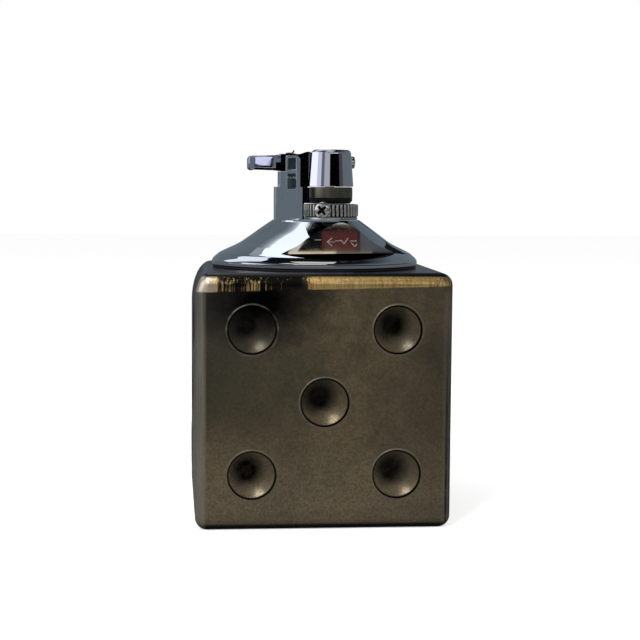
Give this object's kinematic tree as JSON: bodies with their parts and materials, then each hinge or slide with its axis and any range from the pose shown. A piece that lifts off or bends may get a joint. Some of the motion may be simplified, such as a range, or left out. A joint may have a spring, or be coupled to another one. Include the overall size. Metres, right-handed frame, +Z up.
{
  "type": "table lighter",
  "caption": "Die-shaped table lighter: pipped hollow cube holding a lift-out gas insert with thumb lever, snuffer cap, flint wheel and knurled flame ring.",
  "frame": {"origin": "on the resting surface, under the centre of the cube", "axes": "+Z up, -Y out of the side with the pips in an X, which the flame direction marks face; +X from the thumb pad towards the burner cap"},
  "size_m": [0.0636, 0.0636, 0.094],
  "materials": {
    "antique_brass": "antiqued satin brass plate, worn bright along the edges",
    "chrome": "polished chrome plate",
    "steel": "plain steel",
    "brass": "turned brass",
    "dark_brass": "darkened brass",
    "nickel": "dull nickel plate",
    "black_plastic": "black moulded plastic",
    "rubber": "black rubber",
    "felt": "dark green felt",
    "wick_felt": "white wick fibre",
    "flint_alloy": "dull flint alloy",
    "smoked_plastic": "smoked nylon"
  },
  "bodies": {
    "die": {"body_shell": "antique_brass", "base_plate": "steel", "base_screw_1": "steel", "base_screw_2": "steel", "base_screw_3": "steel", "base_screw_4": "steel", "felt_pad": "felt"},
    "insert": {"skirt_casting": "chrome", "gasket_ring": "rubber", "friction_band": "steel", "tank_lid": "smoked_plastic", "lid_seal": "rubber", "fuel_tank": "smoked_plastic", "valve_body": "brass", "wick": "wick_felt", "filler_valve": "brass", "filler_spring": "steel", "burner_neck": "black_plastic", "burner_cup": "dark_brass", "nozzle_spring": "steel", "flint_tube": "brass", "flint": "flint_alloy", "flint_spring": "steel", "flint_screw": "brass", "wheel_axle": "steel", "lever_spring": "steel"},
    "lever": {"thumb_lever": "chrome", "drive_pawl": "steel", "burner_cap": "chrome", "cap_seal": "rubber", "cap_rivet": "chrome"},
    "wheel": {"spark_wheel": "steel", "ratchet_wheel": "steel"},
    "nozzle": {"burner_nozzle": "brass"},
    "adjuster": {"adjusting_ring": "nickel", "ring_screw": "nickel"},
    "refill_pin": {"filler_pin": "brass"}
  },
  "joints": [
    {"name": "insert_lift", "type": "slide", "parent": "die", "child": "insert", "axis": [0, 0, 1], "range_m": [0, 0.06]},
    {"name": "lever_press", "type": "hinge", "parent": "insert", "child": "lever", "pos_m": [-0.0064, 0, 0.08995], "axis": [0, -1, 0], "range_deg": [0, 30], "stiffness_Nm_per_rad": 0.05, "springref_deg": -28.65, "deforming": ["lever_spring"]},
    {"name": "wheel_spin", "type": "hinge", "parent": "insert", "child": "wheel", "pos_m": [-0.0064, 0, 0.08995], "axis": [0, -1, 0], "range_deg": [0, 30]},
    {"name": "nozzle_rise", "type": "slide", "parent": "insert", "child": "nozzle", "axis": [0, 0, 1], "range_m": [0, 0.0008], "deforming": ["nozzle_spring"]},
    {"name": "flame_adjust", "type": "hinge", "parent": "insert", "child": "adjuster", "pos_m": [0.00425, 0, 0.0783], "axis": [0, 0, 1], "range_deg": [-18, 180]},
    {"name": "refill_press", "type": "slide", "parent": "insert", "child": "refill_pin", "axis": [0, 0, 1], "range_m": [0, 0.0012], "stiffness_N_per_m": 1500, "springref_m": -0.001, "deforming": ["filler_spring"]}
  ],
  "couplings": [
    {"joint": "wheel_spin", "follows": "lever_press", "ratio": 1},
    {"joint": "nozzle_rise", "follows": "lever_press", "m_per_rad": 0.00152}
  ]
}
